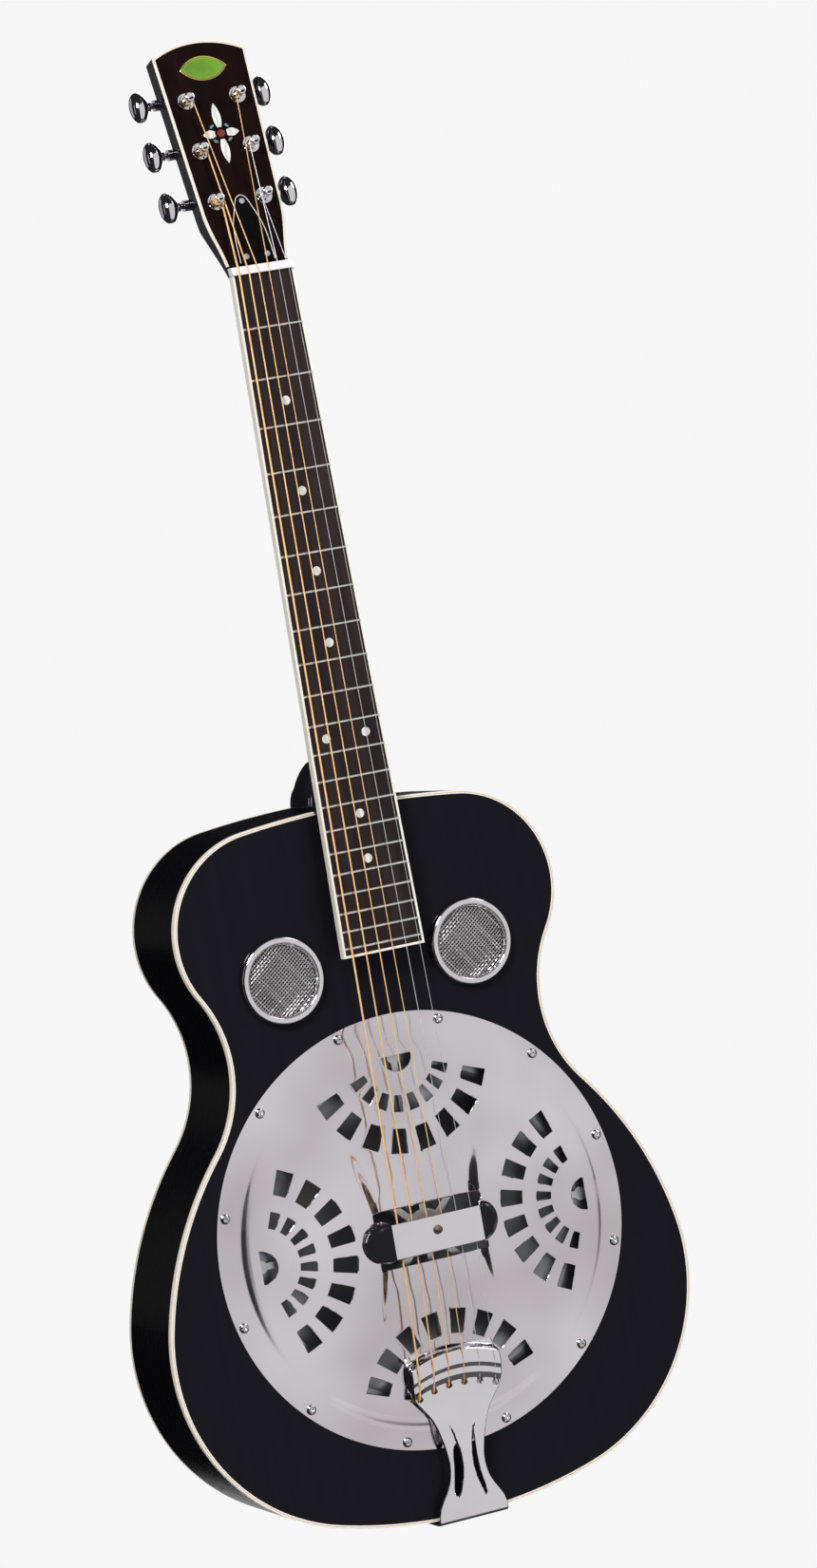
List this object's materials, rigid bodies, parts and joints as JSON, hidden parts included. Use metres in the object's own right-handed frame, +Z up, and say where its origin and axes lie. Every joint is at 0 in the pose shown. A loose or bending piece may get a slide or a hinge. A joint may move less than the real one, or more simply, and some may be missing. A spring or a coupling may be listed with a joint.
{
  "type": "resonator guitar",
  "caption": "Round-neck resonator guitar with a spun cone under a pierced round cover plate, two screened sound holes, a strap tailpiece and geared tuning machines.",
  "frame": {"origin": "outer face of the strap button at the tail end, at half the depth of the rim", "axes": "+Z up the neck, strings and cover plate face -Y, bass strings towards -X"},
  "size_m": [0.3766, 0.1078, 1.0001],
  "materials": {
    "black_lacquer": "gloss black lacquer over laminated wood",
    "bare_wood": "unfinished spruce and mahogany inside the body",
    "neck_lacquer": "gloss black lacquer over mahogany",
    "rosewood": "open-grained rosewood, oiled",
    "head_veneer": "dark rosewood veneer under gloss lacquer",
    "ivory_binding": "ivory-coloured plastic binding, polished",
    "pearl_dot": "pearl inlay dots, polished",
    "pearl_inlay": "mother-of-pearl inlay with a red-brown centre",
    "badge": "green enamel lozenge with a gilt rim",
    "nut_bone": "polished bone-white nut",
    "nickel_silver": "polished nickel-silver fret wire",
    "nickel_cover": "satin nickel plate, polished at the bends",
    "chrome": "bright chrome plate",
    "spun_aluminium": "spun aluminium, fine turning lines",
    "cast_aluminium": "cast aluminium, lightly polished",
    "saddle_maple": "maple saddle",
    "steel_screw": "plated steel",
    "truss_steel": "blued steel rod",
    "black_plastic": "black plastic with a white edge",
    "bronze_string": "bronze-wound steel string",
    "plain_string": "plain tinned steel string"
  },
  "bodies": {
    "guitar": {"top_plate": "black_lacquer", "back_plate": "black_lacquer", "side_bass": "black_lacquer", "side_treble": "black_lacquer", "binding_front": "ivory_binding", "binding_back": "ivory_binding", "neck_block": "bare_wood", "tail_block": "bare_wood", "linings": "bare_wood", "back_braces": "bare_wood", "sound_well": "bare_wood", "well_posts": "bare_wood", "neck": "neck_lacquer", "heel_cap": "neck_lacquer", "fretboard_support": "black_lacquer", "fretboard": "rosewood", "fretboard_binding": "ivory_binding", "frets": "nickel_silver", "position_markers": "pearl_dot", "truss_rod": "truss_steel", "nut": "nut_bone", "headplate": "head_veneer", "headstock_binding": "ivory_binding", "head_inlay": "pearl_inlay", "head_badge": "badge", "truss_rod_cover": "black_plastic", "truss_cover_screws": "steel_screw", "tuner_housings": "chrome", "tuner_bushings": "chrome", "cone": "spun_aluminium", "spider": "cast_aluminium", "saddle": "saddle_maple", "spider_screw": "steel_screw", "cover_plate": "nickel_cover", "cover_screws": "steel_screw", "palm_rest": "chrome", "tailpiece": "chrome", "strap_button": "chrome", "screen_rings": "chrome", "screen_meshes": "steel_screw", "strings_wound": "bronze_string", "strings_plain": "plain_string"},
    "key_1": {"tuner_button_1": "chrome", "worm_shaft_1": "chrome"},
    "post_1": {"string_post_1": "chrome"},
    "key_2": {"tuner_button_2": "chrome", "worm_shaft_2": "chrome"},
    "post_2": {"string_post_2": "chrome"},
    "key_3": {"tuner_button_3": "chrome", "worm_shaft_3": "chrome"},
    "post_3": {"string_post_3": "chrome"},
    "key_4": {"tuner_button_4": "chrome", "worm_shaft_4": "chrome"},
    "post_4": {"string_post_4": "chrome"},
    "key_5": {"tuner_button_5": "chrome", "worm_shaft_5": "chrome"},
    "post_5": {"string_post_5": "chrome"},
    "key_6": {"tuner_button_6": "chrome", "worm_shaft_6": "chrome"},
    "post_6": {"string_post_6": "chrome"}
  },
  "joints": [
    {"name": "key_1_turn", "type": "hinge", "parent": "guitar", "child": "key_1", "pos_m": [-0.0172, -0.01144, 0.89298], "axis": [1, 0, 0], "continuous": true},
    {"name": "post_1_turn", "type": "hinge", "parent": "guitar", "child": "post_1", "pos_m": [-0.0172, -0.03114, 0.89118], "axis": [0, -0.9636, 0.2672], "continuous": true},
    {"name": "key_2_turn", "type": "hinge", "parent": "guitar", "child": "key_2", "pos_m": [-0.0182, -0.00177, 0.92787], "axis": [1, 0, 0], "continuous": true},
    {"name": "post_2_turn", "type": "hinge", "parent": "guitar", "child": "post_2", "pos_m": [-0.0182, -0.02146, 0.92606], "axis": [0, -0.9636, 0.2672], "continuous": true},
    {"name": "key_3_turn", "type": "hinge", "parent": "guitar", "child": "key_3", "pos_m": [-0.0184, 0.00772, 0.96208], "axis": [1, 0, 0], "continuous": true},
    {"name": "post_3_turn", "type": "hinge", "parent": "guitar", "child": "post_3", "pos_m": [-0.0184, -0.01198, 0.96027], "axis": [0, -0.9636, 0.2672], "continuous": true},
    {"name": "key_4_turn", "type": "hinge", "parent": "guitar", "child": "key_4", "pos_m": [0.0184, 0.00772, 0.96208], "axis": [1, 0, 0], "continuous": true},
    {"name": "post_4_turn", "type": "hinge", "parent": "guitar", "child": "post_4", "pos_m": [0.0184, -0.01198, 0.96027], "axis": [0, -0.9636, 0.2672], "continuous": true},
    {"name": "key_5_turn", "type": "hinge", "parent": "guitar", "child": "key_5", "pos_m": [0.0182, -0.00177, 0.92787], "axis": [1, 0, 0], "continuous": true},
    {"name": "post_5_turn", "type": "hinge", "parent": "guitar", "child": "post_5", "pos_m": [0.0182, -0.02146, 0.92606], "axis": [0, -0.9636, 0.2672], "continuous": true},
    {"name": "key_6_turn", "type": "hinge", "parent": "guitar", "child": "key_6", "pos_m": [0.0172, -0.01144, 0.89298], "axis": [1, 0, 0], "continuous": true},
    {"name": "post_6_turn", "type": "hinge", "parent": "guitar", "child": "post_6", "pos_m": [0.0172, -0.03114, 0.89118], "axis": [0, -0.9636, 0.2672], "continuous": true}
  ],
  "couplings": [
    {"joint": "post_1_turn", "follows": "key_1_turn", "ratio": 0.071429},
    {"joint": "post_2_turn", "follows": "key_2_turn", "ratio": 0.071429},
    {"joint": "post_3_turn", "follows": "key_3_turn", "ratio": 0.071429},
    {"joint": "post_4_turn", "follows": "key_4_turn", "ratio": 0.071429},
    {"joint": "post_5_turn", "follows": "key_5_turn", "ratio": 0.071429},
    {"joint": "post_6_turn", "follows": "key_6_turn", "ratio": 0.071429}
  ]
}
